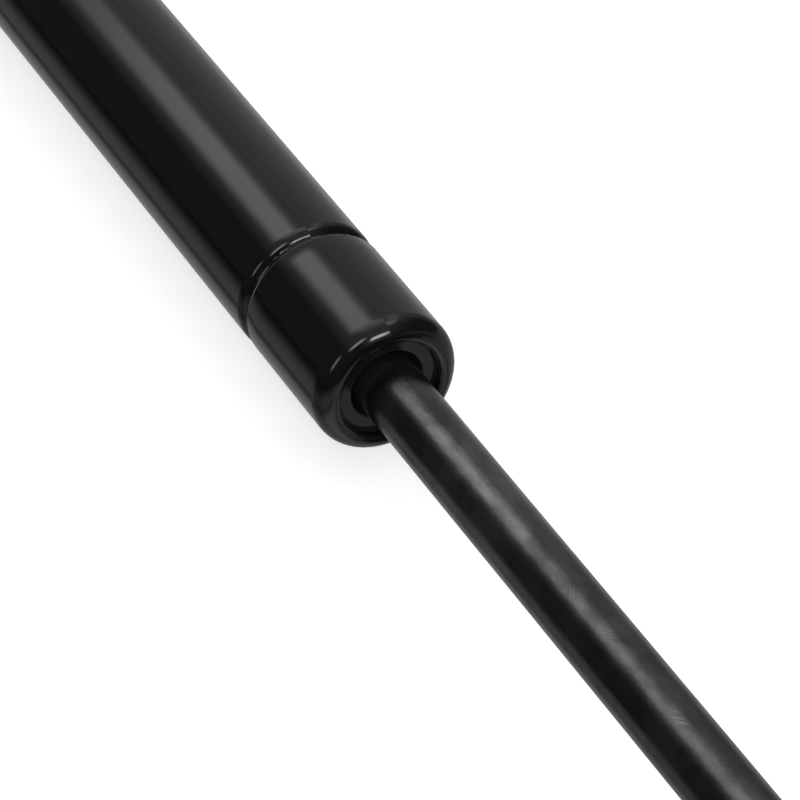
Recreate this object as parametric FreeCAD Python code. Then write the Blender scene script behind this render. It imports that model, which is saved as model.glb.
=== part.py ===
import FreeCAD, Part
import math
import os

from FreeCAD import Vector

# Gas strut with a 10 mm rod and a 23 mm tube, shown extended.
# The strut lies level along +X with its rod towards +X, and stands on two flat brackets.
# The origin is the centre of the base bracket's mounting face, below the base ball. +Z is up.
# All lengths are millimetres.

# Driving sizes of the strut
tube_outer_r = 11.5
tube_wall = 1.5
rod_r = 5.0
stroke = 150.0
stop_gap = 0.3            # left between the piston and its stop at full extension
oil_reserve = 12.0        # space behind the piston at full compression
rod_reserve = 10.0        # rod that stays outside at full compression

# Rolled ends of the tube
lip_round_r = 3.5         # outside radius of the rolled-over lip
lip_edge_r = 1.05         # smaller rounding over the lip's cut edge
lip_short = 0.1           # how far the cut edge stops short of the rounding's centre
head_length = 24.15       # lip front to where the head's groove begins
foot_length = 10.3        # the same at the closed end
groove_depth = 1.07
groove_slope_r = 2.0      # long soft shoulder, on the side of the tube's middle
groove_floor_r = 1.0      # hollow at the foot of that shoulder
groove_bend_r = 0.4       # tighter hollow, on the side of the tube's end
shoulder_round = 0.72     # shoulder on the side of the tube's end
bead_depth = 0.95         # how far the groove stands into the bore
bead_slope = 1.2          # length of the bead's sloped sides
bead_flat = 1.0           # length of the bead's crest

# Guide and seal pack in the head
guide_gap = 0.33          # dark gap between the lip and the guide
guide_sink = 1.95         # guide's flat front face behind the lip's front
guide_step = 0.6          # height of that face over the guide's shoulder
guide_mouth_gap = 0.8     # open ring round the rod in the guide's mouth
guide_rim = 0.2
bush_sink = 5.0           # bush behind the guide's front face
bush_chamfer = 0.3
running_gap = 0.03        # radial clearance of everything that slides
backup_thickness = 1.0
seal_length = 5.0
seal_groove_depth = 2.4
seal_groove_width = 1.6
seal_lip_length = 1.0
seal_relief = 0.6
washer_thickness = 4.2
washer_hole_gap = 0.3

# Piston on the rod
spigot_r = 3.5
disc_thickness = 1.5
disc_bead_gap = 0.25
piston_neck_r = 7.0
piston_length = 8.0
piston_bead_gap = 0.3
piston_side_gap = 0.4
ring_groove_offset = 2.4
ring_groove_width = 3.2
ring_groove_depth = 1.6
ring_side_play = 0.2
ring_height = 1.37
gas_notch_r = 0.9
gas_notch_count = 4
back_washer_thickness = 1.2
back_washer_r = 7.0
rivet_length = 1.7
rivet_r = 4.8

# Closed end of the tube
plug_proud = 1.0          # plug's boss in front of the rolled lip
plug_chamfer = 0.6
oring_r = 1.1
oring_land = 0.6          # plug's land between its rounded shoulder and the ring's groove
oring_groove_width = 2.8

# Threads, drawn at their outer size
thread_r = 4.0
thread_chamfer = 0.8
thread_length = 14.0
thread_show = 2.0         # bare thread between the jam nut and the strut

# Jam nuts
nut_across_flats = 13.0
nut_thickness = 4.0
nut_chamfer_deg = 30.0
nut_face_ratio = 0.95     # bevelled face to the distance across flats

# Ball sockets
ball_r = 6.5
ball_gap = 0.05
socket_wall = 3.1
socket_crown = 2.45       # metal above the ball
socket_rim = 1.3          # metal below the clip's hole
socket_round_r = 3.0
socket_rim_chamfer = 0.6
socket_reach = 30.0       # ball centre to the end of the shank
shank_r = 6.5
shank_chamfer = 1.0
socket_thread_spare = 0.5

# Safety clips
wire_r = 0.75
wire_hole_gap = 0.05
clip_ball_gap = 0.1
clip_angle_deg = 40.0     # from level down to the wire that locks the ball
clip_side_gap = 0.3
clip_bend_r = 2.0
clip_hook_offset = 3.85   # side of the socket's head to the hook
clip_knee_run = 3.5       # length over which the arm turns in to the hook
clip_hook_gap = 0.05
clip_tail = 2.5
clip_stub = 1.5
clip_knee_r = 1.6

# Ball studs
neck_gap = 0.88           # neck to the clip's leg
collar_r = 6.5
collar_thickness = 2.5
collar_chamfer = 0.4
neck_fillet = 0.8
rivet_pin_r = 4.0
rivet_head_r = 5.5
rivet_head_depth = 1.5
stud_height = 13.0        # bracket's upper face to the ball's centre

# Brackets
plate_length = 60.0
plate_width = 40.0
plate_thickness = 3.0
plate_corner_r = 6.0
plate_edge = 0.4
bolt_spacing_x = 44.0
bolt_spacing_y = 24.0
bolt_hole_r = 3.2

# Sizes that follow from the driving sizes
bore_r = tube_outer_r - tube_wall
axis_z = plate_thickness + stud_height
inner_round_r = lip_round_r - tube_wall
lip_centre_r = tube_outer_r - lip_round_r
lip_hole_r = lip_centre_r + lip_short
boss_r = lip_hole_r - guide_gap
guide_mouth_r = rod_r + guide_mouth_gap
bead_crest_r = bore_r - bead_depth
slope_turn = math.acos(1 - groove_depth / (groove_slope_r + groove_floor_r))
slope_run = (groove_slope_r + groove_floor_r) * math.sin(slope_turn)
shoulder_turn = math.acos(1 - groove_depth / (shoulder_round + groove_bend_r))
shoulder_run = (shoulder_round + groove_bend_r) * math.sin(shoulder_turn)
bead_lead = bead_slope + bead_flat / 2 - shoulder_run

# Distances behind the lip's front plane, head end
bead_start = head_length - bead_lead
bead_end = bead_start + 2 * bead_slope + bead_flat
washer_back = bead_start + bead_slope / 2
seal_back = washer_back - washer_thickness
backup_back = seal_back - seal_length
guide_back = backup_back - backup_thickness
bush_front = guide_sink + bush_sink
washer_corner_r = bore_r - bead_depth / 2
disc_front = washer_back + stop_gap
disc_back = disc_front + disc_thickness
piston_front = bead_end + piston_bead_gap
piston_back = piston_front + piston_length
back_washer_back = piston_back + back_washer_thickness
rivet_back = back_washer_back + rivet_length

# Distances behind the lip's front plane, closed end
foot_bead_start = foot_length - bead_lead
plug_back = foot_bead_start + bead_slope / 2
oring_depth = lip_round_r + oring_land + oring_groove_width / 2
oring_seat_r = bore_r - 2 * oring_r

tube_length = rivet_back + stroke + oil_reserve + plug_back
rod_out = stroke + rod_reserve

# Ball socket and clip, from the ball's centre.
# The clip's straight leg crosses under the ball, on the side away from the shank.
leg_distance = ball_r + wire_r + clip_ball_gap
leg_x = -leg_distance * math.cos(math.radians(clip_angle_deg))
leg_drop = leg_distance * math.sin(math.radians(clip_angle_deg))
neck_r = -leg_x - wire_r - neck_gap
cavity_r = ball_r + ball_gap
socket_head_r = cavity_r + socket_wall
socket_above = cavity_r + socket_crown
socket_below = leg_drop + wire_r + wire_hole_gap + socket_rim

# Places along X
tube_start = socket_reach + nut_thickness + thread_show + plug_proud
tube_front = tube_start + tube_length
rod_end = tube_front + rod_out
rod_ball_x = rod_end + thread_show + nut_thickness + socket_reach


def corner_at(x, r):
    """A point of a turned outline: its place along the strut and its radius."""
    return Vector(x, 0, r)


def turned(moves):
    """Turn a closed outline round the X axis. A move is a point, or an arc's middle and end point."""
    start = moves[0]
    here = start
    edges = []
    for move in moves[1:] + [start]:
        if isinstance(move, tuple):
            middle, end = move
            edges.append(Part.Arc(here, middle, end).toShape())
        else:
            end = move
            if here.distanceToPoint(end) > 1e-6:
                edges.append(Part.LineSegment(here, end).toShape())
        here = end
    face = Part.Face(Part.Wire(edges))
    return face.revolve(Vector(0, 0, 0), Vector(1, 0, 0), 360)


def on_arc(x, r, radius, angle_deg):
    """A point on an arc of an outline, by the arc's centre, radius and angle from +X."""
    angle = math.radians(angle_deg)
    return corner_at(x + radius * math.cos(angle), r + radius * math.sin(angle))


def along_x(radius, start, end):
    return Part.makeCylinder(radius, end - start, Vector(start, 0, 0), Vector(1, 0, 0))


def upright(shape):
    """Stand a shape turned round X up, so that its X becomes Z."""
    stood = shape.copy()
    stood.rotate(Vector(0, 0, 0), Vector(0, 1, 0), -90)
    return stood


def moved(shape, x, y, z):
    placed = shape.copy()
    placed.translate(Vector(x, y, z))
    return placed


def on_axis(shape):
    return moved(shape, 0, 0, axis_z)


def at_rod_end(shape):
    """The rod end's fittings are the base's, turned half round to face the tube."""
    turned_round = shape.copy()
    turned_round.rotate(Vector(0, 0, 0), Vector(0, 0, 1), 180)
    return moved(turned_round, rod_ball_x, 0, 0)


def groove_outside(shoulder):
    """Outline of a rolled groove, from the tube's side to the end's side, as four tangent arcs.

    shoulder is the distance behind the lip's front; x grows towards the lip's front."""
    floor_x = -shoulder - shoulder_run
    floor_r = tube_outer_r - groove_depth
    slope_deg = math.degrees(slope_turn)
    shoulder_deg = math.degrees(shoulder_turn)

    def arc(x, r, radius, first_deg, last_deg):
        middle = on_arc(x, r, radius, (first_deg + last_deg) / 2)
        return (middle, on_arc(x, r, radius, last_deg))

    return [
        corner_at(floor_x - slope_run, tube_outer_r),
        arc(floor_x - slope_run, tube_outer_r - groove_slope_r, groove_slope_r, 90, 90 - slope_deg),
        arc(floor_x, floor_r + groove_floor_r, groove_floor_r, 270 - slope_deg, 270),
        arc(floor_x, floor_r + groove_bend_r, groove_bend_r, 270, 270 + shoulder_deg),
        arc(-shoulder, tube_outer_r - shoulder_round, shoulder_round, 90 + shoulder_deg, 90),
    ]


def bead_inside(start):
    """Outline of the bead that the groove raises in the bore, from the lip's side inwards."""
    return [
        corner_at(-start, bore_r),
        corner_at(-start - bead_slope, bead_crest_r),
        corner_at(-start - bead_slope - bead_flat, bead_crest_r),
        corner_at(-start - 2 * bead_slope - bead_flat, bore_r),
    ]


def lip_outline():
    """Outline of the rolled lip from the tube's outside round to its bore.

    The cut edge's small rounding is tangent to the lip's large one."""
    edge_reach = lip_round_r - lip_edge_r
    turn = math.asin((lip_edge_r + lip_short) / edge_reach)
    turn_deg = math.degrees(turn)
    edge_x = -lip_round_r + edge_reach * math.cos(turn)
    edge_centre_r = lip_centre_r + edge_reach * math.sin(turn)
    inner_deg = math.degrees(math.asin(lip_short / inner_round_r))
    return [
        corner_at(-lip_round_r, tube_outer_r),
        (
            on_arc(-lip_round_r, lip_centre_r, lip_round_r, 45),
            on_arc(-lip_round_r, lip_centre_r, lip_round_r, turn_deg),
        ),
        (
            on_arc(edge_x, edge_centre_r, lip_edge_r, (turn_deg - 90) / 2),
            corner_at(edge_x, lip_hole_r),
        ),
    ] + rounded_shoulder(inner_deg)


def mirrored(moves, length):
    """The same outline seen from the other end of a tube of this length, in reverse order."""
    def flip(point):
        return Vector(-length - point.x, 0, point.z)

    stops = [moves[0]] + [m[1] if isinstance(m, tuple) else m for m in moves[1:]]
    result = [flip(stops[-1])]
    for index in range(len(moves) - 1, 0, -1):
        move = moves[index]
        before = flip(stops[index - 1])
        if isinstance(move, tuple):
            result.append((flip(move[0]), before))
        else:
            result.append(before)
    return result


def pressure_tube():
    outside = groove_outside(head_length) + lip_outline()
    inside = bead_inside(bead_start)
    foot_outside = mirrored(groove_outside(foot_length) + lip_outline(), tube_length)
    foot_inside = mirrored(bead_inside(foot_bead_start), tube_length)
    return on_axis(moved(turned(outside + inside + foot_inside + foot_outside), tube_front, 0, 0))


def rounded_shoulder(start_deg):
    """Outline under a rolled lip out to the bore, from an angle off +X on the lip's inner rounding."""
    return [
        on_arc(-lip_round_r, lip_centre_r, inner_round_r, start_deg),
        (
            on_arc(-lip_round_r, lip_centre_r, inner_round_r, (start_deg + 90) / 2),
            corner_at(-lip_round_r, bore_r),
        ),
    ]


def rod_guide():
    """Guide with a flat front face round the rod, seated with its shoulder under the lip."""
    shoulder = guide_sink + guide_step
    seat_deg = math.degrees(math.acos((lip_round_r - shoulder) / inner_round_r))
    outline = [
        corner_at(-guide_sink - guide_rim, guide_mouth_r),
        corner_at(-guide_sink, guide_mouth_r + guide_rim),
        corner_at(-guide_sink, boss_r - guide_rim / 2),
        corner_at(-guide_sink - guide_rim / 2, boss_r),
        corner_at(-shoulder, boss_r),
    ] + rounded_shoulder(seat_deg) + [
        corner_at(-guide_back, bore_r),
        corner_at(-guide_back, guide_mouth_r),
    ]
    return on_axis(moved(turned(outline), tube_front, 0, 0))


def guide_bush():
    hole_r = rod_r + running_gap
    outline = [
        corner_at(-guide_back, guide_mouth_r),
        corner_at(-guide_back, hole_r + bush_chamfer),
        corner_at(-guide_back + bush_chamfer, hole_r),
        corner_at(-bush_front - bush_chamfer, hole_r),
        corner_at(-bush_front, hole_r + bush_chamfer),
        corner_at(-bush_front, guide_mouth_r),
    ]
    return on_axis(moved(turned(outline), tube_front, 0, 0))


def seal_backup_ring():
    hole_r = rod_r + washer_hole_gap
    ring = along_x(bore_r, -backup_back, -guide_back).cut(along_x(hole_r, -backup_back, -guide_back))
    return on_axis(moved(ring, tube_front, 0, 0))


def rod_seal():
    lip_r = rod_r + running_gap
    middle_r = (lip_r + seal_relief + bore_r) / 2
    half = seal_groove_width / 2
    groove_floor = seal_back - seal_groove_depth
    outline = [
        corner_at(-backup_back, bore_r),
        corner_at(-backup_back, lip_r),
        corner_at(-backup_back - seal_lip_length, lip_r),
        corner_at(-backup_back - 2 * seal_lip_length, lip_r + seal_relief),
        corner_at(-seal_back + 2 * seal_lip_length, lip_r + seal_relief),
        corner_at(-seal_back + seal_lip_length / 2, lip_r),
        corner_at(-seal_back, lip_r),
        corner_at(-seal_back, middle_r - half),
        corner_at(-groove_floor - half, middle_r - half),
        corner_at(-groove_floor, middle_r),
        corner_at(-groove_floor - half, middle_r + half),
        corner_at(-seal_back, middle_r + half),
        corner_at(-seal_back, bore_r),
    ]
    return on_axis(moved(turned(outline), tube_front, 0, 0))


def seal_support_washer():
    hole_r = rod_r + washer_hole_gap
    outline = [
        corner_at(-seal_back, hole_r),
        corner_at(-seal_back, bore_r),
        corner_at(-bead_start, bore_r),
        corner_at(-washer_back, washer_corner_r),
        corner_at(-washer_back, hole_r),
    ]
    return on_axis(moved(turned(outline), tube_front, 0, 0))


def piston_rod():
    """Rod with a threaded end outside and a riveted spigot inside."""
    thread_end = rod_out + thread_show + nut_thickness + thread_length - thread_chamfer
    step = rod_r - thread_r
    outline = [
        corner_at(-rivet_back, 0),
        corner_at(-rivet_back, rivet_r / 2),
        corner_at(-back_washer_back - rivet_length / 2, rivet_r),
        corner_at(-back_washer_back, rivet_r),
        corner_at(-back_washer_back, spigot_r),
        corner_at(-disc_front, spigot_r),
        corner_at(-disc_front, rod_r),
        corner_at(rod_out - step, rod_r),
        corner_at(rod_out, thread_r),
        corner_at(thread_end, thread_r),
        corner_at(thread_end + thread_chamfer, thread_r - thread_chamfer),
        corner_at(thread_end + thread_chamfer, 0),
    ]
    return on_axis(moved(turned(outline), tube_front, 0, 0))


def piston_front_disc():
    disc_r = bead_crest_r - disc_bead_gap
    disc = along_x(disc_r, -disc_back, -disc_front).cut(along_x(spigot_r, -disc_back, -disc_front))
    return on_axis(moved(disc, tube_front, 0, 0))


def piston_body():
    body_r = bore_r - piston_side_gap
    groove_start = piston_front + ring_groove_offset
    groove_end = groove_start + ring_groove_width
    floor_r = body_r - ring_groove_depth
    outline = [
        corner_at(-disc_back, spigot_r),
        corner_at(-disc_back, piston_neck_r),
        corner_at(-piston_front, piston_neck_r),
        corner_at(-piston_front, body_r),
        corner_at(-groove_start, body_r),
        corner_at(-groove_start, floor_r),
        corner_at(-groove_end, floor_r),
        corner_at(-groove_end, body_r),
        corner_at(-piston_back, body_r),
        corner_at(-piston_back, spigot_r),
    ]
    body = turned(outline)
    for index in range(gas_notch_count):
        angle = 2 * math.pi * index / gas_notch_count
        centre = Vector(-groove_start, body_r * math.cos(angle), body_r * math.sin(angle))
        notch = Part.makeCylinder(gas_notch_r, ring_groove_offset, centre, Vector(1, 0, 0))
        body = body.cut(notch)
    return on_axis(moved(body, tube_front, 0, 0))


def piston_ring():
    start = piston_front + ring_groove_offset + ring_side_play
    end = start + ring_groove_width - 2 * ring_side_play
    outer_r = bore_r - running_gap
    ring = along_x(outer_r, -end, -start).cut(along_x(outer_r - ring_height, -end, -start))
    return on_axis(moved(ring, tube_front, 0, 0))


def piston_back_washer():
    washer = along_x(back_washer_r, -back_washer_back, -piston_back)
    washer = washer.cut(along_x(spigot_r, -back_washer_back, -piston_back))
    return on_axis(moved(washer, tube_front, 0, 0))


def end_plug():
    """Plug under the closed end's lip, with the threaded stud. Built facing +X, then turned round."""
    half_groove = oring_groove_width / 2
    stud_end = plug_proud + thread_show + nut_thickness + thread_length - thread_chamfer
    outline = [
        corner_at(-plug_back, 0),
        corner_at(stud_end + thread_chamfer, 0),
        corner_at(stud_end + thread_chamfer, thread_r - thread_chamfer),
        corner_at(stud_end, thread_r),
        corner_at(plug_proud, thread_r),
        corner_at(plug_proud, boss_r - plug_chamfer),
        corner_at(plug_proud - plug_chamfer, boss_r),
        corner_at(-tube_wall, boss_r),
    ] + rounded_shoulder(0) + [
        corner_at(-oring_depth + half_groove, bore_r),
        corner_at(-oring_depth + half_groove, oring_seat_r),
        corner_at(-oring_depth - half_groove, oring_seat_r),
        corner_at(-oring_depth - half_groove, bore_r),
        corner_at(-foot_bead_start, bore_r),
        corner_at(-plug_back, washer_corner_r),
    ]
    plug = turned(outline)
    plug.rotate(Vector(0, 0, 0), Vector(0, 0, 1), 180)
    return on_axis(moved(plug, tube_start, 0, 0))


def end_plug_oring():
    ring = Part.makeTorus(bore_r - oring_r, oring_r, Vector(0, 0, 0), Vector(1, 0, 0))
    return on_axis(moved(ring, tube_start + oring_depth, 0, 0))


def jam_nut():
    """Thin hexagon nut against the end of the ball socket's shank."""
    corner_r = nut_across_flats / 2 / math.cos(math.radians(30))
    corners = []
    for index in range(7):
        angle = math.radians(60 * index)
        corners.append(Vector(socket_reach, corner_r * math.cos(angle), corner_r * math.sin(angle)))
    prism = Part.Face(Part.makePolygon(corners)).extrude(Vector(nut_thickness, 0, 0))
    flat_r = nut_across_flats / 2 * nut_face_ratio
    bevel = (corner_r - flat_r) * math.tan(math.radians(nut_chamfer_deg))
    end = socket_reach + nut_thickness
    bevelled = turned([
        corner_at(socket_reach, 0),
        corner_at(socket_reach, flat_r),
        corner_at(socket_reach + bevel, corner_r),
        corner_at(end - bevel, corner_r),
        corner_at(end, flat_r),
        corner_at(end, 0),
    ])
    nut = prism.common(bevelled).cut(along_x(thread_r, socket_reach, end))
    return on_axis(nut)


def ball_socket():
    """Ball socket with its head round the ball and its threaded shank towards +X."""
    round_centre_r = socket_head_r - socket_round_r
    round_centre = socket_above - socket_round_r
    head = upright(turned([
        corner_at(-socket_below, 0),
        corner_at(-socket_below, socket_head_r - socket_rim_chamfer),
        corner_at(-socket_below + socket_rim_chamfer, socket_head_r),
        corner_at(round_centre, socket_head_r),
        (
            on_arc(round_centre, round_centre_r, socket_round_r, 45),
            corner_at(socket_above, round_centre_r),
        ),
        corner_at(socket_above, 0),
    ]))
    shank = turned([
        corner_at(0, 0),
        corner_at(0, shank_r),
        corner_at(socket_reach - shank_chamfer, shank_r),
        corner_at(socket_reach, shank_r - shank_chamfer),
        corner_at(socket_reach, 0),
    ])
    cavity = upright(turned([
        corner_at(-socket_below, 0),
        corner_at(-socket_below, cavity_r + socket_rim_chamfer),
        corner_at(-socket_below + socket_rim_chamfer, cavity_r),
        corner_at(0, cavity_r),
        (on_arc(0, 0, cavity_r, 45), corner_at(cavity_r, 0)),
    ]))
    thread_hole = along_x(thread_r, socket_reach - thread_length - socket_thread_spare, socket_reach)
    leg_hole = Part.makeCylinder(
        wire_r + wire_hole_gap,
        2 * socket_head_r,
        Vector(leg_x, -socket_head_r, -leg_drop),
        Vector(0, 1, 0),
    )
    return on_axis(head.fuse(shank).cut(cavity).cut(thread_hole).cut(leg_hole).removeSplitter())


def bent_path(corners):
    """Wire of straight runs joined by tangent arcs. Each inner corner is a point and its bend radius."""
    here = corners[0][0]
    edges = []
    for index in range(1, len(corners) - 1):
        point, radius = corners[index]
        back = (corners[index - 1][0] - point).normalize()
        ahead = (corners[index + 1][0] - point).normalize()
        half = back.getAngle(ahead) / 2
        reach = radius / math.tan(half)
        start = point + back * reach
        end = point + ahead * reach
        inward = (back + ahead).normalize()
        middle = point + inward * (radius / math.sin(half) - radius)
        if here.distanceToPoint(start) > 1e-6:
            edges.append(Part.LineSegment(here, start).toShape())
        edges.append(Part.Arc(start, middle, end).toShape())
        here = end
    last = corners[-1][0]
    edges.append(Part.LineSegment(here, last).toShape())
    return Part.Wire(edges)


def safety_clip():
    """Wire clip: a leg through the socket's head under the ball, an arm, and a hook over the shank."""
    side_y = socket_head_r + wire_r + clip_side_gap
    hook_r = shank_r + wire_r + clip_hook_gap
    hook_x = socket_head_r + clip_hook_offset
    stub_y = math.sqrt(socket_head_r ** 2 - leg_x ** 2) + clip_stub
    path = bent_path([
        (Vector(leg_x, -stub_y, -leg_drop), 0),
        (Vector(leg_x, side_y, -leg_drop), clip_bend_r),
        (Vector(hook_x - clip_knee_run, side_y, -leg_drop), clip_knee_r),
        (Vector(hook_x, hook_r, -leg_drop), clip_knee_r),
        (Vector(hook_x, hook_r, hook_r), hook_r),
        (Vector(hook_x, -hook_r, hook_r), hook_r),
        (Vector(hook_x, -hook_r, -clip_tail), 0),
    ])
    ring = Part.Wire(Part.makeCircle(wire_r, Vector(leg_x, -stub_y, -leg_drop), Vector(0, 1, 0)))
    return on_axis(path.makePipeShell([ring], True, False))


def ball_stud():
    """Ball, neck, collar and a pin riveted flush into the bracket."""
    neck_top = -math.sqrt(ball_r ** 2 - neck_r ** 2)
    collar_top = -stud_height + collar_thickness
    plate_bottom = -stud_height - plate_thickness
    half_way = math.degrees(math.atan2(neck_r, neck_top)) / 2
    return on_axis(upright(turned([
        corner_at(plate_bottom, 0),
        corner_at(plate_bottom, rivet_head_r),
        corner_at(plate_bottom + rivet_head_depth, rivet_pin_r),
        corner_at(-stud_height, rivet_pin_r),
        corner_at(-stud_height, collar_r),
        corner_at(collar_top - collar_chamfer, collar_r),
        corner_at(collar_top, collar_r - collar_chamfer),
        corner_at(collar_top, neck_r + neck_fillet),
        (
            on_arc(collar_top + neck_fillet, neck_r + neck_fillet, neck_fillet, 225),
            corner_at(collar_top + neck_fillet, neck_r),
        ),
        corner_at(neck_top, neck_r),
        (on_arc(0, 0, ball_r, half_way), corner_at(ball_r, 0)),
    ])))


def bracket():
    """Flat plate with rounded corners, four screw holes and the stud's countersunk hole."""
    plate = Part.makeBox(
        plate_length, plate_width, plate_thickness,
        Vector(-plate_length / 2, -plate_width / 2, 0),
    )
    upright_edges = [e for e in plate.Edges if abs(e.BoundBox.ZLength - plate_thickness) < 1e-6]
    plate = plate.makeFillet(plate_corner_r, upright_edges)
    top_edges = [e for e in plate.Edges if e.BoundBox.ZMin > plate_thickness - 1e-6]
    plate = plate.makeChamfer(plate_edge, top_edges)
    for side_x in (-1, 1):
        for side_y in (-1, 1):
            centre = Vector(side_x * bolt_spacing_x / 2, side_y * bolt_spacing_y / 2, 0)
            plate = plate.cut(Part.makeCylinder(bolt_hole_r, plate_thickness, centre))
    plate = plate.cut(Part.makeCylinder(rivet_pin_r, plate_thickness))
    return plate.cut(Part.makeCone(rivet_head_r, rivet_pin_r, rivet_head_depth))


def write(name, shape):
    shape.exportStep(os.path.join("parts", name + ".step"))


def main():
    os.makedirs("parts", exist_ok=True)

    fittings = {
        "bracket": bracket(),
        "ball_stud": ball_stud(),
        "ball_socket": ball_socket(),
        "safety_clip": safety_clip(),
        "jam_nut": jam_nut(),
    }
    for name, shape in fittings.items():
        write("base_" + name, shape)
        write("rod_" + name, at_rod_end(shape))

    write("pressure_tube", pressure_tube())
    write("end_plug", end_plug())
    write("end_plug_oring", end_plug_oring())
    write("rod_guide", rod_guide())
    write("guide_bush", guide_bush())
    write("seal_backup_ring", seal_backup_ring())
    write("rod_seal", rod_seal())
    write("seal_support_washer", seal_support_washer())
    write("piston_rod", piston_rod())
    write("piston_front_disc", piston_front_disc())
    write("piston_body", piston_body())
    write("piston_ring", piston_ring())
    write("piston_back_washer", piston_back_washer())


main()
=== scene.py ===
import math

import bpy
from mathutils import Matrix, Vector


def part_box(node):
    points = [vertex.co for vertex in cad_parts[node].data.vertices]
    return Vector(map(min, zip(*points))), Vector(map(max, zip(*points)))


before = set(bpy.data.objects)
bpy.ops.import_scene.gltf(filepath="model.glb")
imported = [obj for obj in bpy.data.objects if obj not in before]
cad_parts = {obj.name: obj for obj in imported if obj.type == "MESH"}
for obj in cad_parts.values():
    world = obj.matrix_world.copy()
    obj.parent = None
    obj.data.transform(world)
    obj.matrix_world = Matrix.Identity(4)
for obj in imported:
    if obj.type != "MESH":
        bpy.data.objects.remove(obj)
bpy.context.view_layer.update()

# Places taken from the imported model
tube_low, tube_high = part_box("pressure_tube")
axis_z = (tube_low.z + tube_high.z) / 2
lip_front = tube_high.x
rod_low, rod_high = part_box("piston_rod")
rod_r = (rod_high.z - rod_low.z) / 2
base_nut_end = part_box("base_jam_nut")[1].x
rod_nut_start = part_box("rod_jam_nut")[0].x
THREAD_PITCH = 0.00125
THREAD_SHOWN = 0.002       # bare thread between each jam nut and the strut
GROOVE_PAST_LIP = 0.02386  # behind the lip's front, where the head's groove begins
GROOVE_PULL = 0.003        # how far rolling the groove has drawn the surface down beside it

# Camera
VIEW_AZIMUTH = 61.9
VIEW_ELEVATION = 40.12
VIEW_DISTANCE = 0.573
VIEW_LENS = 179.0          # millimetres, on a sensor 36 mm wide
TARGET_PAST_LIP = 0.0023

# Studio. A direction is given by its x and by its turn, in degrees, from straight up towards -Y.
WALLS = 0.36               # light of the studio's plain walls
DIMMEST = 0.045            # light of its darkest places
END_WALL = 2.2             # light of the wall far behind the tube, which is bright only low down
SOFTBOX_START = 2.0        # light of the long softbox at its far end and at its near end
SOFTBOX_END = 0.42
STRIP_FAR = 0.43           # light of the narrow strip beside it, far off and near
STRIP_NEAR = 1.3
WALLS_NEAR_X = (0.3, 0.6)  # where the walls' near edge changes its turn, and that turn
WALLS_NEAR_TURN = (36.0, 14.0)
WALLS_LOW_TURN = (-108.0, -96.0)
SOFTBOX_X = (-0.72, 0.0)   # the run of the softbox's middle line, and its turn at both ends
SOFTBOX_TURN = (5.0, -10.0)
STRIP_X = (-0.5, 0.05)     # the same for the strip
STRIP_TURN = (-40.0, -26.0)
STRIP_NEARER_X = (-0.26, -0.08)
TABLE_COLOUR = (0.88, 0.88, 0.88, 1.0)
TABLE_LIFT = 0.52          # what the table needs to be seen as white
FILL = 0.75                # plain light from all round, for colours and the table's shadow
KEY_POWER = 6.0
KEY_SIZE = 0.5
KEY_DISTANCE = 1.9
TABLE_HALF = 20.0

# Scuffed places on the rod: distance past the lip, length, slant of the scratches as their run
# along the rod to their run round it, turn from and to in radians, strength
SCUFFS = [
    (0.0516, 0.0026, 1.6, 0.08, 0.36, 1.0),
    (0.0626, 0.0020, -1.2, 0.06, 0.36, 0.7),
    (0.0798, 0.0040, -1.2, 0.06, 0.36, 0.65),
]

# Rod. Its sheen is a share, which is higher in one polished stretch, and in a line along the rod as a
# painted highlight.
ROD_IOR = 1.82
POLISHED_FROM_LIP = (0.017, 0.041)
POLISHED_SHEEN = 1.28
PLAIN_SHEEN = 0.88
PAINTED_HIGHLIGHT_TURN = (0.42, 0.5)    # radians, from straight up towards -Y; a painted highlight
PAINTED_HIGHLIGHT_SHEEN = 1.4
BLOTCH_SHEEN = (0.76, 1.24)
MOUTH_PAINTED_LIGHT_REACH = 0.0015               # how far the painted light on the rod, which lifts its shaded part in the mouth, reaches out of the mouth
MOUTH_PAINTED_SHADE_SPAN = (0.0002, 0.0012)     # past the lip, where the sheen comes up from its dull start, a painted shade that keeps the rod's reflection dark at the mouth
# Painted shade: the rod's sheen at the mouth
MOUTH_PAINTED_SHADE_SHEEN = 0.15
SCRATCHES_PER_METRE = 2900.0
SCRATCH_GREY = 0.12
ROD_GREYS = (0.003, 0.0055)
# Painted light: the rod's colour in the mouth, where it lies in shade
MOUTH_PAINTED_LIGHT_GREY = 0.011

# Paint, and the painted shade and painted light on the guide
PAINT_IOR = 1.5
PAINT_SHEEN = 0.5
# Painted shade: the guide's sheen, lowered on its upper side
GUIDE_PAINTED_SHADE_SHEEN = 0.17
GUIDE_PAINTED_SHADE_TURN = (-0.33, 1.33)        # radians; where the guide's sheen is lowered as painted shade
GUIDE_BORE_R = 0.0060
GUIDE_STEP_R = 0.0077
GUIDE_PAINTED_LIGHT_GREY = 0.03            # painted light in the bore and outside the face's step, where these lie in shade
GROOVE_DRAW = 1.3e-4              # depth of the surface drawn down beside the groove
DUST_GREY = 0.09

ZINC_METALLIC = 0.82              # passivated, so a little dull

# Studio floor, by turn: towards -Y at 90, straight down at 180, towards +Y at 270. It starts at the
# wall, a dark band like a shadow lies across it, and one patch is brighter. The first floor is what
# directions that point far towards the tube's closed end see, the second is for all others.
FLOOR_START = 99.0
FLOOR_LIT = 125.0
FLOOR_ALONG = dict(near=0.30, far=0.36, shadow=146.0, shadow_share=0.3, patch=240.0, patch_light=0.12)
FLOOR_ACROSS = dict(near=0.21, far=0.30, shadow=134.0, shadow_share=0.5, patch=225.0, patch_light=0.10)

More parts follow.
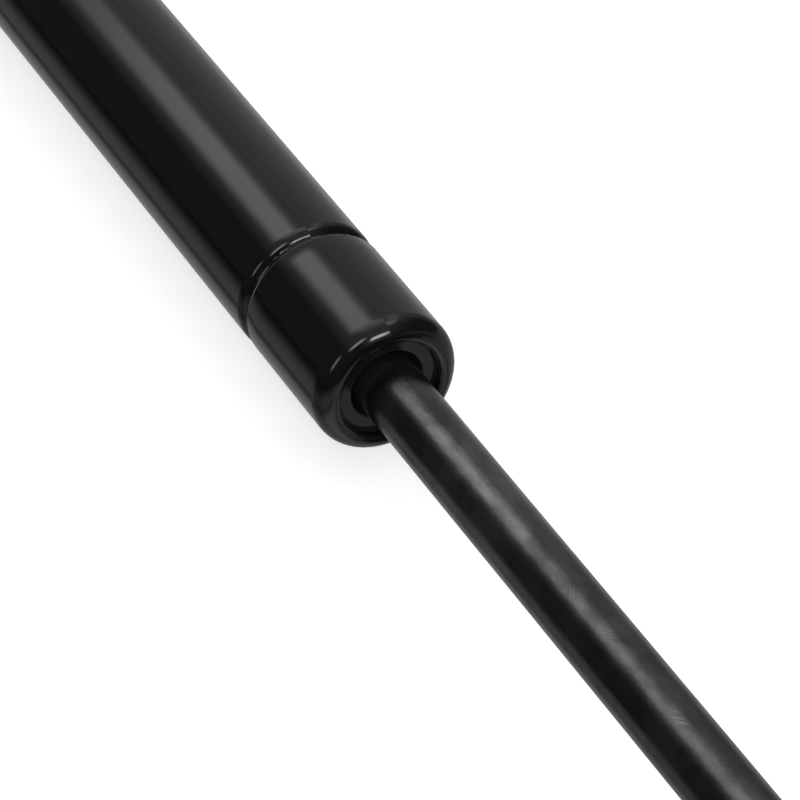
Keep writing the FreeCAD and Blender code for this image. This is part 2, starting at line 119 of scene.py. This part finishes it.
# Small panels: x from, x to, turn from, turn to, softness in x, softness in turn, light
PANELS = [
    (0.595, 0.738, -21.0, 3.5, 0.015, 5.0, 9.0),
    (0.31, 0.46, 14.0, 37.0, 0.03, 5.0, 4.0),
    (0.09, 0.25, 54.0, 74.0, 0.03, 5.0, 2.2),
]

# Places in the studio by x and turn: where the two floors meet, how far round they reach, a dark
# corner and a brighter part of the floor, and where the side walls and the end wall stop
FLOOR_CHANGE_X = (-0.62, -0.50)
FLOOR_TURN = (97.0, 265.0)
DARK_CORNER_TURN = (208.0, 265.0)
DARK_CORNER_X = (0.70, 0.79)
BRIGHTER_FLOOR = 1.2
BRIGHTER_TURN = (165.0, 205.0)
BRIGHTER_X = (-0.1, 0.35)
WALLS_END_X = (0.80, 0.90)
END_WALL_X = (-0.82, -0.96)
END_WALL_HEIGHT = (-0.25, -0.02)

# A faint ledge along the wall on the +Y side, which rises towards the rod's end
LEDGE_TURN = -97.0
LEDGE_START = -0.15
LEDGE_RISE = 50.0
LEDGE_LIGHT = 0.17

# Dark opening in the walls: x where it starts, softness in x, upper turn, softness in turn, light left
OPENINGS = [
    (-0.62, 0.04, -66.0, 10.0, 0.48),
    (-0.32, 0.10, -52.0, 14.0, 0.10),
    (0.0, 0.25, -33.0, 18.0, 0.25),
]


class Graph:
    """Short ways to add nodes to a material's or the world's node tree."""

    def __init__(self, tree):
        self.tree = tree
        tree.nodes.clear()

    def add(self, kind, inputs=None, **settings):
        made = self.tree.nodes.new(kind)
        for name, value in settings.items():
            setattr(made, name, value)
        for socket, value in (inputs or {}).items():
            self.feed(made.inputs[socket], value)
        return made

    def feed(self, socket, value):
        if isinstance(value, bpy.types.NodeSocket):
            self.tree.links.new(value, socket)
        else:
            socket.default_value = value

    def math(self, operation, first, second=0.0):
        made = self.add("ShaderNodeMath", {0: first, 1: second}, operation=operation)
        return made.outputs[0]

    def span(self, value, low, high, at_low, at_high, smooth=True):
        """Map a value from one span to another, and hold it at the ends."""
        inputs = {"Value": value, "From Min": low, "From Max": high, "To Min": at_low, "To Max": at_high}
        kind = "SMOOTHSTEP" if smooth else "LINEAR"
        return self.add("ShaderNodeMapRange", inputs, interpolation_type=kind).outputs["Result"]

    def window(self, value, low, high, soft):
        """1 between low and high and 0 outside, with soft edges."""
        rise = self.span(value, low - soft, low + soft, 0.0, 1.0)
        fall = self.span(value, high - soft, high + soft, 1.0, 0.0)
        return self.math("MULTIPLY", rise, fall)

    def mix(self, factor, first, second):
        """Mix two numbers."""
        made = self.add("ShaderNodeMix", {0: factor, 2: first, 3: second}, data_type="FLOAT")
        return made.outputs[0]

    def blend(self, factor, first, second):
        """Mix two colours."""
        made = self.add("ShaderNodeMix", {"Factor": factor}, data_type="RGBA")
        self.feed(made.inputs[6], first)
        self.feed(made.inputs[7], second)
        return made.outputs[2]

    def place(self, stretch=(1.0, 1.0, 1.0)):
        """The point on the surface in the piece's own metres, stretched along the axes."""
        point = self.add("ShaderNodeTexCoord").outputs["Object"]
        return self.add("ShaderNodeMapping", {"Vector": point, "Scale": stretch}).outputs["Vector"]

    def noise(self, point, per_metre, detail=3.0, roughness=0.55):
        inputs = {"Vector": point, "Scale": per_metre, "Detail": detail, "Roughness": roughness}
        return self.add("ShaderNodeTexNoise", inputs).outputs["Fac"]

    def bump(self, height, distance, under=None):
        inputs = {"Height": height, "Distance": distance, "Strength": 1.0}
        if under is not None:
            inputs["Normal"] = under
        return self.add("ShaderNodeBump", inputs).outputs["Normal"]


def grey(level, warmth=0.0):
    return (level * (1.0 + warmth), level, level * (1.0 - warmth), 1.0)


def new_material(name):
    material = bpy.data.materials.new(name)
    material.use_nodes = True
    return material, Graph(material.node_tree)


def finish_material(graph, inputs):
    shader = graph.add("ShaderNodeBsdfPrincipled", inputs)
    output = graph.add("ShaderNodeOutputMaterial")
    graph.feed(output.inputs["Surface"], shader.outputs["BSDF"])
    return shader


def around(graph, point):
    """Place along the strut, and the turn about its axis in radians from straight up towards -Y."""
    parts = graph.add("ShaderNodeSeparateXYZ", {"Vector": point}).outputs
    sideways = graph.math("MULTIPLY", parts["Y"], -1.0)
    height = graph.math("SUBTRACT", parts["Z"], axis_z)
    return parts["X"], graph.math("ARCTAN2", sideways, height)


def distance_from_axis(graph, point):
    parts = graph.add("ShaderNodeSeparateXYZ", {"Vector": point}).outputs
    height = graph.math("SUBTRACT", parts["Z"], axis_z)
    squares = graph.math("ADD", graph.math("POWER", parts["Y"], 2.0), graph.math("POWER", height, 2.0))
    return graph.math("SQRT", squares)


def specks(graph, point, per_metre, size):
    """Few dust specks, 1 on a speck and 0 beside it. Size is a share of the space between them."""
    cells = graph.add("ShaderNodeTexVoronoi", {"Vector": point, "Scale": per_metre})
    chosen = graph.add("ShaderNodeSeparateColor", {"Color": cells.outputs["Color"]}).outputs[0]
    near = graph.span(cells.outputs["Distance"], size * 0.5, size, 1.0, 0.0)
    return graph.math("MULTIPLY", near, graph.math("GREATER_THAN", chosen, 0.55))


def gloss_paint(name, colour, roughness, with_painted_light=False):
    """Black stoved paint: orange peel, a drawn tube's long waves, faint wiping marks and dust.

    With painted light, its sheen is lowered on its upper side as painted shade, and its bore and the part
    outside its face's step are paler as painted light.
    """
    material, graph = new_material(name)
    point = graph.place()
    wave = graph.noise(graph.place((0.35, 1.0, 1.0)), 110.0, 2.0)
    peel = graph.noise(point, 950.0, 2.0)
    haze = graph.noise(point, 60.0, 4.0)
    dust = specks(graph, point, 150.0, 0.018)
    along, turn = around(graph, point)
    groove = lip_front - GROOVE_PAST_LIP
    drawn = graph.span(along, groove, groove + GROOVE_PULL, 1.0, 0.0, smooth=False)
    normal = graph.bump(graph.math("MULTIPLY", drawn, drawn), -GROOVE_DRAW)
    normal = graph.bump(wave, 3.0e-5, normal)
    normal = graph.bump(peel, 2.6e-6, normal)
    paint = graph.blend(haze, grey(colour * 0.8), grey(colour * 1.25))
    gloss = graph.span(haze, 0.3, 0.7, roughness * 0.8, roughness * 1.25, smooth=False)
    sheen = PAINT_SHEEN
    if with_painted_light:
        # Painted shade: the sheen is lowered on the upper side
        painted_light_zone = graph.window(turn, *GUIDE_PAINTED_SHADE_TURN, 0.09)
        sheen = graph.span(painted_light_zone, 0.0, 1.0, PAINT_SHEEN, GUIDE_PAINTED_SHADE_SHEEN, smooth=False)
        # Painted light: the bore and the gap outside the face's step are made paler, where they lie in
        # shade
        radius = distance_from_axis(graph, point)
        bore_painted_light = graph.span(radius, GUIDE_BORE_R - 0.0002, GUIDE_BORE_R + 0.0002, 1.0, 0.0)
        step_painted_light = graph.span(radius, GUIDE_STEP_R - 0.0001, GUIDE_STEP_R + 0.0001, 0.0, 1.0)
        paint = graph.blend(graph.math("ADD", bore_painted_light, step_painted_light), paint, grey(GUIDE_PAINTED_LIGHT_GREY))
    finish_material(graph, {
        "Base Color": graph.blend(dust, paint, grey(DUST_GREY)),
        "Roughness": graph.mix(dust, gloss, 0.5),
        "IOR": PAINT_IOR,
        "Specular IOR Level": sheen,
        "Normal": normal,
    })
    return material


def thread_height(graph, point, start, end):
    """Height of a screw thread's crests between two places along the strut, from 0 to 1."""
    along, turn = around(graph, point)
    phase = graph.math("ADD", graph.math("MULTIPLY", along, 2 * math.pi / THREAD_PITCH), turn)
    crest = graph.span(graph.math("SINE", phase), -1.0, 1.0, 0.0, 1.0, smooth=False)
    return graph.math("MULTIPLY", crest, graph.window(along, start, end, 0.0002))


def rod_surface(name):
    """Black nitrided rod: ground round, with cloudy bands, blotches, shallow waves and scuffed places,
    painted light in the mouth, painted shade in its sheen there and a painted highlight along it.
    """
    material, graph = new_material(name)
    point = graph.place()
    along, turn = around(graph, point)
    grind = graph.noise(graph.place((1.0, 0.04, 0.04)), 5200.0, 3.0, 0.6)
    streak = graph.noise(graph.place((1.0, 0.1, 0.1)), 900.0, 4.0, 0.6)
    band = graph.noise(graph.place((1.0, 0.45, 0.45)), 105.0, 3.0, 0.6)
    wave = graph.noise(graph.place((0.5, 1.0, 1.0)), 130.0, 2.0)
    blotch = graph.noise(graph.place((0.6, 1.0, 1.0)), 330.0, 3.0, 0.6)
    clouds = graph.mix(0.3, graph.span(band, 0.36, 0.64, 0.0, 1.0), streak)

    arc = graph.math("MULTIPLY", turn, rod_r)
    mark = specks(graph, point, 120.0, 0.02)
    for from_lip, length, slant, turn_from, turn_to, strength in SCUFFS:
        slanted = graph.math("SUBTRACT", along, graph.math("MULTIPLY", arc, slant))
        across = graph.add("ShaderNodeCombineXYZ", {"X": slanted, "Y": graph.math("MULTIPLY", arc, 0.15)})
        scratches = graph.noise(across.outputs["Vector"], SCRATCHES_PER_METRE, 2.0)
        lines = graph.span(scratches, 0.48, 0.64, 0.0, strength)
        start = lip_front + from_lip
        place = graph.window(slanted, start, start + length, 0.0008)
        place = graph.math("MULTIPLY", place, graph.window(turn, turn_from, turn_to, 0.1))
        mark = graph.math("MAXIMUM", mark, graph.math("MULTIPLY", lines, place))

    past_lip = graph.math("SUBTRACT", along, lip_front)
    polished = graph.window(past_lip, *POLISHED_FROM_LIP, 0.004)
    sheen = graph.span(polished, 0.0, 1.0, PLAIN_SHEEN, POLISHED_SHEEN, smooth=False)
    for share in (
        # painted shade: dull sheen at the mouth
        graph.span(past_lip, *MOUTH_PAINTED_SHADE_SPAN, MOUTH_PAINTED_SHADE_SHEEN, 1.0),
        # painted highlight: a line of higher sheen along the rod
        graph.span(
            graph.window(turn, *PAINTED_HIGHLIGHT_TURN, 0.09),
            0.0, 1.0, 1.0, PAINTED_HIGHLIGHT_SHEEN, smooth=False,
        ),
        graph.span(clouds, 0.0, 1.0, 0.53, 0.47),
        graph.span(blotch, 0.35, 0.65, *BLOTCH_SHEEN),
    ):
        sheen = graph.math("MULTIPLY", sheen, share)
    normal = graph.bump(wave, 1.0e-4)
    normal = graph.bump(blotch, 4.0e-5, normal)
    normal = graph.bump(grind, 1.0e-6, normal)
    thread = thread_height(graph, point, rod_nut_start - THREAD_SHOWN, rod_high.x)
    normal = graph.bump(thread, 5.0e-4, normal)
    # Painted light: the rod is paler in the mouth and just past the lip, where it lies in shade
    painted_light_zone = graph.span(past_lip, 0.0, MOUTH_PAINTED_LIGHT_REACH, 1.0, 0.0)
    colour = graph.blend(clouds, grey(ROD_GREYS[0]), grey(ROD_GREYS[1]))
    colour = graph.blend(painted_light_zone, colour, grey(MOUTH_PAINTED_LIGHT_GREY))
    finish_material(graph, {
        "Base Color": graph.blend(mark, colour, grey(SCRATCH_GREY)),
        "Roughness": graph.span(clouds, 0.0, 1.0, 0.17, 0.30, smooth=False),
        "IOR": ROD_IOR,
        "Specular IOR Level": sheen,
        "Normal": normal,
    })
    return material


def plated_metal(name, colour, roughness, warmth=0.0, peel=3.0e-6, stretch=(1.0, 1.0, 1.0), thread=None,
                 metallic=1.0):
    """Plated or bare metal: cloudy sheen, small pits and a slightly uneven surface."""
    material, graph = new_material(name)
    point = graph.place(stretch)
    cloud = graph.noise(point, 180.0, 4.0)
    pit = graph.noise(point, 2600.0, 2.0)
    normal = graph.bump(pit, peel)
    if thread is not None:
        normal = graph.bump(thread_height(graph, graph.place(), *thread), 5.0e-4, normal)
    finish_material(graph, {
        "Base Color": graph.blend(cloud, grey(colour * 0.82, warmth), grey(colour * 1.1, warmth)),
        "Metallic": metallic,
        "Roughness": graph.span(cloud, 0.3, 0.7, roughness * 0.75, roughness * 1.25, smooth=False),
        "Normal": normal,
    })
    return material


def matt_solid(name, colour, roughness, grain_per_metre=1500.0, grain=4.0e-6):
    """Rubber or plastic: fine grain and faint patches."""
    material, graph = new_material(name)
    point = graph.place()
    patch = graph.noise(point, 140.0, 3.0)
    grit = graph.noise(point, grain_per_metre, 3.0)
    dark = tuple(part * 0.8 for part in colour) + (1.0,)
    light = tuple(part * 1.2 for part in colour) + (1.0,)
    finish_material(graph, {
        "Base Color": graph.blend(patch, dark, light),
        "Roughness": graph.span(patch, 0.3, 0.7, roughness * 0.9, roughness * 1.1, smooth=False),
        "Normal": graph.bump(grit, grain),
    })
    return material


def make_finishes():
    """One finish for each material slot of the record."""
    lathe_marks = (1.0, 0.05, 0.05)
    base_thread = (base_nut_end, base_nut_end + THREAD_SHOWN)
    return {
        "tube_paint": gloss_paint("tube_paint_finish", 0.0047, 0.10),
        "guide_paint": gloss_paint("guide_paint_finish", 0.009, 0.10, with_painted_light=True),
        "rod_nitride": rod_surface("rod_nitride_finish"),
        "fitting_zinc": plated_metal("fitting_zinc_finish", 0.66, 0.32, -0.02, metallic=ZINC_METALLIC),
        "bracket_zinc": plated_metal("bracket_zinc_finish", 0.64, 0.38, -0.02, metallic=ZINC_METALLIC),
        "stud_steel": plated_metal("stud_steel_finish", 0.58, 0.18, 0.0, 2.0e-6),
        "clip_wire": plated_metal("clip_wire_finish", 0.62, 0.20, 0.0, 2.0e-6),
        "plug_steel": plated_metal("plug_steel_finish", 0.50, 0.28, 0.02, 3.0e-6, lathe_marks, base_thread),
        "inner_steel": plated_metal("inner_steel_finish", 0.52, 0.30, 0.02, 3.0e-6, lathe_marks),
        "bush_bronze": matt_solid("bush_bronze_finish", (0.07, 0.062, 0.055), 0.50),
        "seal_rubber": matt_solid("seal_rubber_finish", (0.02, 0.02, 0.02), 0.65),
        "ring_plastic": matt_solid("ring_plastic_finish", (0.35, 0.33, 0.28), 0.50),
        "piston_alloy": plated_metal("piston_alloy_finish", 0.72, 0.32, 0.0, 3.0e-6, lathe_marks),
    }


def dress_nodes(finishes):
    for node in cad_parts.values():
        for slot in node.material_slots:
            slot.material = finishes[slot.material.name]


def light_from_above(graph, x, turn):
    """Walls with a dark opening, a long softbox overhead, a strip beside it, a ledge and small panels."""
    near_end = graph.span(x, *WALLS_NEAR_X, *WALLS_NEAR_TURN, smooth=False)
    walls = graph.span(graph.math("SUBTRACT", turn, near_end), -17.0, 17.0, WALLS, 0.0)
    below_end = graph.span(turn, *WALLS_LOW_TURN, 0.0, 1.0)
    for x_start, x_soft, top, top_soft, dark in OPENINGS:
        opening = graph.math(
            "MULTIPLY",
            graph.span(x, x_start - x_soft, x_start + x_soft, 0.0, 1.0),
            graph.span(turn, top - top_soft, top + top_soft, 1.0, 0.0),
        )
        walls = graph.math("MULTIPLY", walls, graph.span(opening, 0.0, 1.0, 1.0, dark, smooth=False))
    walls = graph.math("MAXIMUM", graph.math("MULTIPLY", walls, below_end), DIMMEST)

    centre = graph.span(x, *SOFTBOX_X, *SOFTBOX_TURN, smooth=False)
    softbox = graph.window(graph.math("SUBTRACT", turn, centre), -17.0, 16.0, 9.0)
    level = graph.span(x, -0.8, 0.05, SOFTBOX_START - WALLS, SOFTBOX_END - WALLS, smooth=False)
    level = graph.math("MULTIPLY", level, graph.span(x, -0.79, -0.73, 0.0, 1.0))
    light = graph.math("ADD", walls, graph.math("MULTIPLY", softbox, level))

    strip_centre = graph.span(x, *STRIP_X, *STRIP_TURN, smooth=False)
    strip = graph.window(graph.math("SUBTRACT", turn, strip_centre), -6.0, 6.0, 4.0)
    strip_light = graph.span(x, *STRIP_NEARER_X, STRIP_FAR, STRIP_NEAR)
    strip_light = graph.math("MULTIPLY", strip_light, graph.window(x, -0.58, 0.13, 0.07))
    light = graph.math("ADD", light, graph.math("MULTIPLY", strip, strip_light))

    from_start = graph.math("MAXIMUM", graph.math("SUBTRACT", x, LEDGE_START), 0.0)
    rise = graph.math("MULTIPLY", graph.math("POWER", from_start, 3.0), LEDGE_RISE)
    ledge_centre = graph.math("ADD", rise, LEDGE_TURN)
    ledge = graph.window(graph.math("SUBTRACT", turn, ledge_centre), -5.0, 5.0, 2.5)
    ledge = graph.math("MULTIPLY", ledge, graph.window(x, -0.12, 0.74, 0.05))
    light = graph.math("ADD", light, graph.math("MULTIPLY", ledge, LEDGE_LIGHT))

    for x_low, x_high, turn_low, turn_high, soft_x, soft_turn, strength in PANELS:
        panel = graph.math(
            "MULTIPLY",
            graph.window(x, x_low, x_high, soft_x),
            graph.window(turn, turn_low, turn_high, soft_turn),
        )
        light = graph.math("ADD", light, graph.math("MULTIPLY", panel, strength))
    return light


def floor_light(graph, turn, near, far, shadow, shadow_share, patch, patch_light):
    """Floor by turn: lit near the wall, crossed by a dark band, then lit farther off, with a patch."""
    light = graph.span(turn, shadow - 4.0, shadow + 16.0, near, far)
    light = graph.math("MULTIPLY", light, graph.span(turn, FLOOR_START, FLOOR_LIT, 0.0, 1.0))
    hidden = graph.window(turn, shadow - 5.0, shadow + 5.0, 7.0)
    light = graph.math("MULTIPLY", light, graph.span(hidden, 0.0, 1.0, 1.0, shadow_share, smooth=False))
    bright = graph.window(turn, patch - 12.0, patch + 12.0, 12.0)
    return graph.math("ADD", light, graph.math("MULTIPLY", bright, patch_light))


def make_world():
    """Studio as reflections see it. The camera sees plain white, and matt colours a plain fill."""
    world = bpy.data.worlds.new("studio")
    bpy.context.scene.world = world
    world.use_nodes = True
    graph = Graph(world.node_tree)
    direction = graph.add("ShaderNodeTexCoord").outputs["Generated"]
    parts = graph.add("ShaderNodeSeparateXYZ", {"Vector": direction}).outputs
    sideways = graph.math("MULTIPLY", parts["Y"], -1.0)
    turn = graph.math("DEGREES", graph.math("ARCTAN2", sideways, parts["Z"]))
    x = parts["X"]

    above = light_from_above(graph, x, turn)
    full_turn = graph.math("FLOORED_MODULO", turn, 360.0)
    across = graph.span(x, *FLOOR_CHANGE_X, 0.0, 1.0)
    along_floor = floor_light(graph, full_turn, **FLOOR_ALONG)
    across_floor = floor_light(graph, full_turn, **FLOOR_ACROSS)
    below = graph.mix(across, along_floor, across_floor)
    corner = graph.window(full_turn, *DARK_CORNER_TURN, 5.0)
    corner = graph.math("MULTIPLY", corner, graph.span(x, *DARK_CORNER_X, 0.0, 1.0))
    below = graph.math("MULTIPLY", below, graph.math("SUBTRACT", 1.0, corner))
    brighter = graph.span(full_turn, *BRIGHTER_TURN, BRIGHTER_FLOOR, 0.0)
    brighter = graph.math("MULTIPLY", brighter, graph.span(x, *BRIGHTER_X, 0.0, 1.0))
    below = graph.math("MULTIPLY", below, graph.math("ADD", 1.0, brighter))
    is_below = graph.window(full_turn, *FLOOR_TURN, 3.0)
    above = graph.math("MULTIPLY", above, graph.span(x, *WALLS_END_X, 1.0, 0.0))
    light = graph.mix(is_below, above, below)
    end_wall = graph.span(x, *END_WALL_X, 0.0, END_WALL)
    low_down = graph.span(parts["Z"], *END_WALL_HEIGHT, 1.0, 0.15)
    light = graph.math("ADD", light, graph.math("MULTIPLY", end_wall, low_down))

    rays = graph.add("ShaderNodeLightPath").outputs
    strength = graph.mix(rays["Is Glossy Ray"], FILL, light)
    shown = graph.math("MAXIMUM", rays["Is Camera Ray"], rays["Is Transmission Ray"])
    strength = graph.mix(shown, strength, 1.0)
    background = graph.add("ShaderNodeBackground", {"Color": grey(1.0), "Strength": strength})
    output = graph.add("ShaderNodeOutputWorld")
    graph.feed(output.inputs["Surface"], background.outputs["Background"])


def make_table():
    """White table under the strut, which keeps its shadow. Reflections see the studio instead."""
    mesh = bpy.data.meshes.new("table")
    corners = [(-1, -1), (1, -1), (1, 1), (-1, 1)]
    mesh.from_pydata([(x * TABLE_HALF, y * TABLE_HALF, 0.0) for x, y in corners], [], [(0, 1, 2, 3)])
    table = bpy.data.objects.new("table", mesh)
    bpy.context.scene.collection.objects.link(table)
    table.visible_glossy = False
    material, graph = new_material("table_white")
    diffuse = graph.add("ShaderNodeBsdfDiffuse", {"Color": TABLE_COLOUR})
    rays = graph.add("ShaderNodeLightPath").outputs
    shown = graph.math("MAXIMUM", rays["Is Camera Ray"], rays["Is Transmission Ray"])
    lift = graph.add("ShaderNodeEmission", {"Strength": graph.math("MULTIPLY", shown, TABLE_LIFT)})
    both = graph.add("ShaderNodeAddShader", {0: diffuse.outputs[0], 1: lift.outputs[0]})
    output = graph.add("ShaderNodeOutputMaterial")
    graph.feed(output.inputs["Surface"], both.outputs[0])
    mesh.materials.append(material)


def view_direction():
    """From the strut back to the camera."""
    azimuth = math.radians(VIEW_AZIMUTH)
    elevation = math.radians(VIEW_ELEVATION)
    return Vector((
        math.sin(azimuth) * math.cos(elevation),
        -math.cos(azimuth) * math.cos(elevation),
        math.sin(elevation),
    ))


def make_lamp():
    """Soft lamp round the camera, so that the strut hides its own shadow. Reflections don't show it."""
    data = bpy.data.lights.new("key", "AREA")
    data.shape = "DISK"
    data.size = KEY_SIZE
    data.energy = KEY_POWER
    lamp = bpy.data.objects.new("key", data)
    aim = Vector((lip_front, 0.0, axis_z))
    away = view_direction()
    lamp.location = aim + away * KEY_DISTANCE
    lamp.rotation_mode = "QUATERNION"
    lamp.rotation_quaternion = (-away).to_track_quat("-Z", "Y")
    lamp.visible_glossy = False
    bpy.context.scene.collection.objects.link(lamp)


def make_camera():
    back = view_direction()
    data = bpy.data.cameras.new("camera")
    data.lens = VIEW_LENS
    data.clip_start = 0.01
    camera = bpy.data.objects.new("camera", data)
    camera.location = Vector((lip_front + TARGET_PAST_LIP, 0.0, axis_z)) + back * VIEW_DISTANCE
    camera.rotation_mode = "QUATERNION"
    camera.rotation_quaternion = (-back).to_track_quat("-Z", "Y")
    bpy.context.scene.collection.objects.link(camera)
    bpy.context.scene.camera = camera


bpy.context.scene.view_settings.view_transform = "Standard"
make_camera()
dress_nodes(make_finishes())
make_world()
make_table()
make_lamp()
